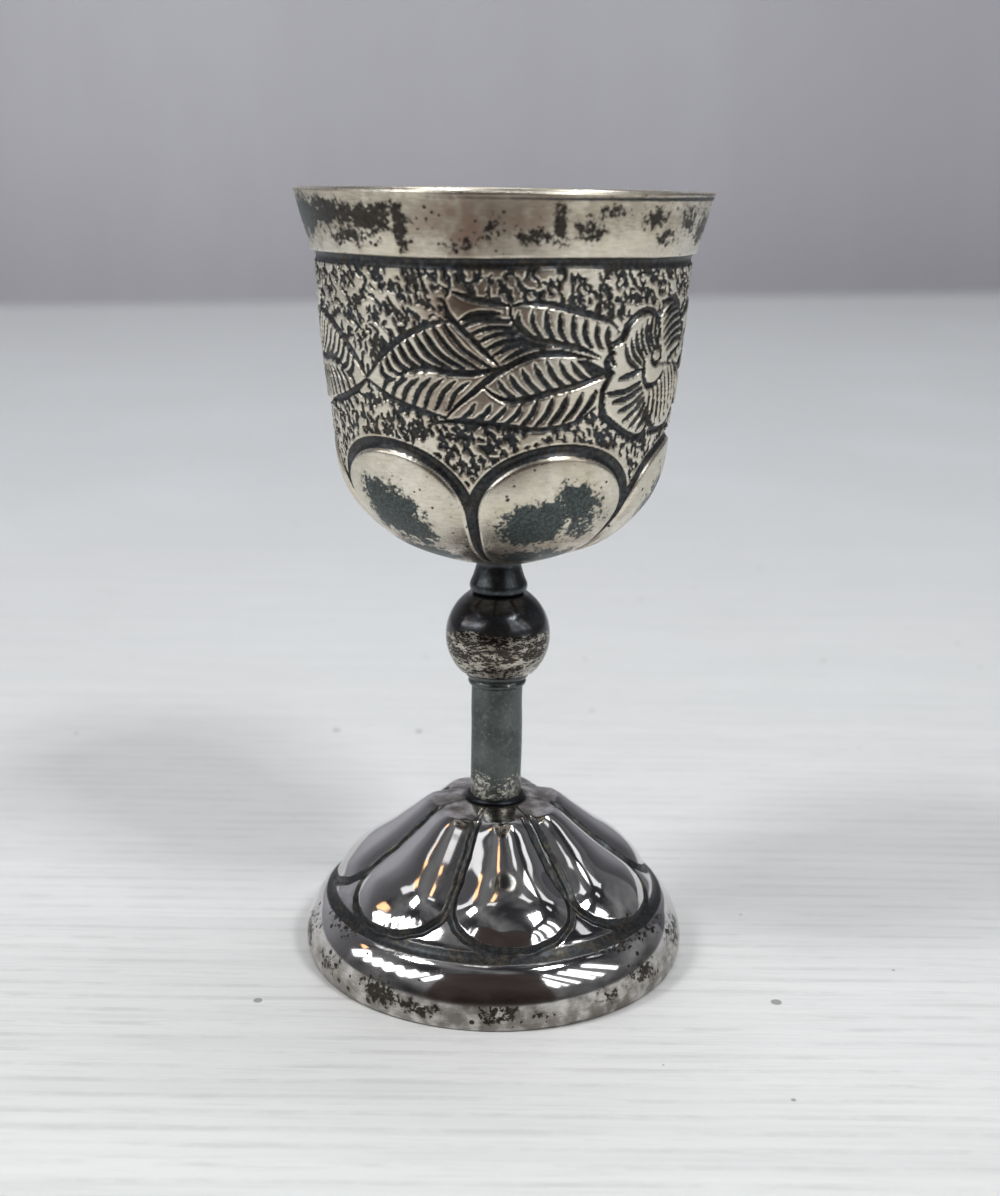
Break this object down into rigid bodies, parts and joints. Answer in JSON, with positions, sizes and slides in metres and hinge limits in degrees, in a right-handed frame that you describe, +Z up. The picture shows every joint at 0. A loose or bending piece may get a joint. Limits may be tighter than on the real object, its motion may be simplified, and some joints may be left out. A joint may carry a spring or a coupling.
{
  "type": "communion chalice",
  "caption": "Small footed drinking cup: a chased bell-shaped bowl on a stem with a round knop and a domed petalled foot, drawn together by a hidden rod, washer and nut.",
  "frame": {"origin": "on the table, under the middle of the foot", "axes": "+Z up along the stem; -Y is the side that faces the viewer, +X is to the viewer's right"},
  "size_m": [0.041, 0.041, 0.08],
  "materials": {
    "cup_silver": "chased and polished silver with dark oxide in the grooves and tarnish spots",
    "foot_silver": "bright polished silver with tarnish spots near the edge",
    "edge_silver": "satin silver worn bright where it rests",
    "knop_silver": "polished silver with heavy tarnish spots",
    "oxidised_silver": "dull blue-grey oxidised silver",
    "brass_fittings": "aged satin brass"
  },
  "bodies": {
    "chalice": {"bowl": "cup_silver", "tie_rod": "brass_fittings", "stem_collar": "oxidised_silver", "knop_upper_shell": "knop_silver", "knop_lower_shell": "knop_silver", "neck_ring": "oxidised_silver", "stem_tube": "oxidised_silver", "tube_base_ring": "oxidised_silver", "foot": "foot_silver", "foot_edge_ring": "edge_silver"},
    "washer": {"foot_washer": "brass_fittings"},
    "nut": {"retaining_nut": "brass_fittings"}
  },
  "joints": [
    {"name": "washer_drop", "type": "slide", "parent": "chalice", "child": "washer", "axis": [0, 0, -1], "range_m": [0, 0.003]},
    {"name": "nut_turn", "type": "hinge", "parent": "washer", "child": "nut", "pos_m": [0, 0, 0.0134], "axis": [0, 0, -1], "range_deg": [0, 2160]}
  ],
  "couplings": [
    {"joint": "nut_turn", "follows": "washer_drop", "rad_per_m": 12566}
  ]
}
